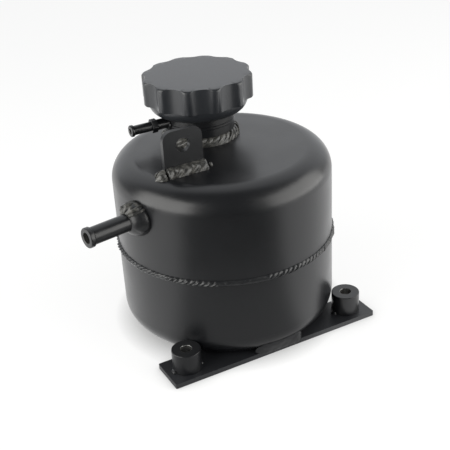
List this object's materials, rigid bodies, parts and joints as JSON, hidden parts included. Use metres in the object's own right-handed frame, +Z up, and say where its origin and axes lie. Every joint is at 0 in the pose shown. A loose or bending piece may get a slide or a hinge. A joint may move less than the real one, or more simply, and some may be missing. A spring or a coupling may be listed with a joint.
{
  "type": "coolant expansion tank",
  "caption": "Round welded aluminium coolant expansion tank with a screwed pressure cap, hose spigots, a bolted base strip and a steadying tab.",
  "frame": {"origin": "midway between the two base bolts, on the underside of the base strip", "axes": "+Z up along the bolts and the tank's axis, +X along the base strip to its right-hand end, +Y back from the strip towards the tank; the steadying tab's hole points along -Y"},
  "size_m": [0.1648, 0.1638, 0.1477],
  "materials": {
    "black_coat": "satin black powder coat on spun and turned aluminium",
    "coated_weld": "rippled weld bead under the same satin black powder coat",
    "black_anodised": "satin black anodised, turned and milled",
    "seal_rubber": "moulded black rubber",
    "stainless_steel": "pressed stainless steel",
    "spring_steel": "drawn stainless spring wire",
    "valve_brass": "turned brass"
  },
  "bodies": {
    "tank": {"upper_shell": "black_coat", "lower_shell": "black_coat", "seam_weld": "coated_weld", "base_strip": "black_coat", "boss_left": "black_coat", "boss_right": "black_coat", "boss_welds": "coated_weld", "base_weld": "coated_weld", "filler_neck": "black_coat", "neck_weld": "coated_weld", "overflow_boss": "black_coat", "overflow_weld": "coated_weld", "overflow_barb": "black_coat", "vent_bung": "black_coat", "vent_weld": "coated_weld", "vent_barb": "black_coat", "outlet_pipe": "black_coat", "outlet_weld": "coated_weld", "mounting_tab": "black_coat", "tab_weld": "coated_weld"},
    "valve_cartridge": {"valve_cup": "stainless_steel", "pressure_spring": "spring_steel"},
    "cap": {"filler_cap": "black_anodised", "cap_gasket": "seal_rubber", "swivel_stud": "stainless_steel"},
    "pressure_valve": {"pressure_plate": "stainless_steel", "pressure_gasket": "seal_rubber", "seal_retainer": "valve_brass", "vacuum_spring": "spring_steel"},
    "vacuum_valve": {"vacuum_poppet": "valve_brass", "vacuum_clip": "stainless_steel"}
  },
  "joints": [
    {"name": "cap_lift", "type": "slide", "parent": "tank", "child": "valve_cartridge", "axis": [0, 0, 1], "range_m": [0, 0.0321]},
    {"name": "cap_turn", "type": "hinge", "parent": "valve_cartridge", "child": "cap", "pos_m": [0, 0.0743, 0.1437], "axis": [0, 0, 1], "range_deg": [0, 2880]},
    {"name": "pressure_relief", "type": "slide", "parent": "valve_cartridge", "child": "pressure_valve", "axis": [0, 0, 1], "range_m": [0, 0.0025], "stiffness_N_per_m": 3400, "deforming": ["pressure_spring"]},
    {"name": "vacuum_relief", "type": "slide", "parent": "pressure_valve", "child": "vacuum_valve", "axis": [0, 0, -1], "range_m": [0, 0.0012], "stiffness_N_per_m": 330, "deforming": ["vacuum_spring"]}
  ],
  "couplings": [
    {"joint": "cap_lift", "follows": "cap_turn", "m_per_rad": 0.00063662}
  ]
}
